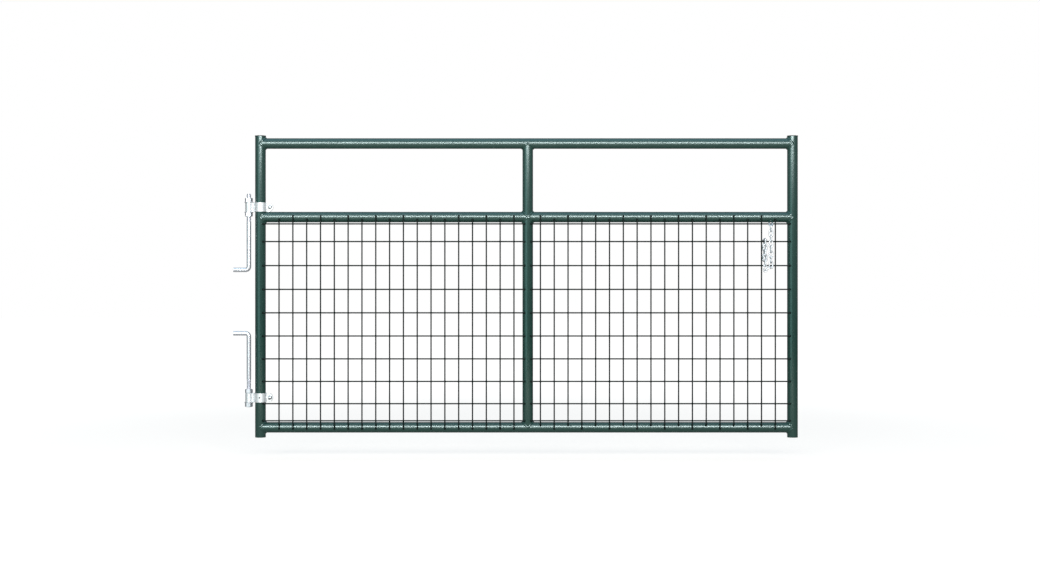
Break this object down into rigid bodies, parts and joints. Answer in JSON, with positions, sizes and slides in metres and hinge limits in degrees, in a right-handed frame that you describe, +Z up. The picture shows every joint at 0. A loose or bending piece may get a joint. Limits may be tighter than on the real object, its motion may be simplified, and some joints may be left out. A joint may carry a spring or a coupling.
{
  "type": "field gate",
  "caption": "Wire-filled steel tube field gate leaf with welded mesh, two formed strap hinges on L-shaped hinge bolts and a hanging latch chain.",
  "frame": {"origin": "centre of the end face of the lower hinge bolt's arm, where it meets the gate post", "axes": "+Z up, +X from the hinge side to the latch side, -Y out of the front face, the side that the mesh and chain are on"},
  "size_m": [2.3788, 0.0712, 1.272],
  "materials": {
    "frame_paint": "gloss dark green powder coat",
    "wire_paint": "gloss dark green powder coat on wire",
    "cap_plastic": "satin black",
    "galvanized_strap": "bright zinc plate",
    "galvanized_rod": "bright zinc plate",
    "galvanized_nut": "bright zinc plate",
    "zinc_fastener": "bright zinc plate",
    "zinc_chain": "bright zinc plate"
  },
  "bodies": {
    "hinge_bolts": {"upper_hinge_bolt": "galvanized_rod", "lower_hinge_bolt": "galvanized_rod", "upper_top_nut": "galvanized_nut", "upper_bottom_nut": "galvanized_nut", "lower_top_nut": "galvanized_nut", "lower_bottom_nut": "galvanized_nut", "upper_top_washer": "galvanized_nut", "upper_bottom_washer": "galvanized_nut", "lower_bottom_washer": "galvanized_nut"},
    "gate_leaf": {"hinge_stile": "frame_paint", "latch_stile": "frame_paint", "top_rail": "frame_paint", "middle_rail": "frame_paint", "bottom_rail": "frame_paint", "upper_upright": "frame_paint", "lower_upright": "frame_paint", "hinge_side_mesh": "wire_paint", "latch_side_mesh": "wire_paint", "hinge_stile_cap": "cap_plastic", "latch_stile_cap": "cap_plastic", "upper_hinge_strap": "galvanized_strap", "lower_hinge_strap": "galvanized_strap", "upper_strap_bolt": "zinc_fastener", "lower_strap_bolt": "zinc_fastener", "upper_strap_nut": "zinc_fastener", "lower_strap_nut": "zinc_fastener", "latch_chain": "zinc_chain", "hinge_stile_welds": "frame_paint", "latch_stile_welds": "frame_paint", "upright_welds": "frame_paint"}
  },
  "joints": [
    {"name": "gate_swing", "type": "hinge", "parent": "hinge_bolts", "child": "gate_leaf", "pos_m": [0.065, 0, 0], "axis": [0, 0, 1], "range_deg": [-90, 90]}
  ]
}
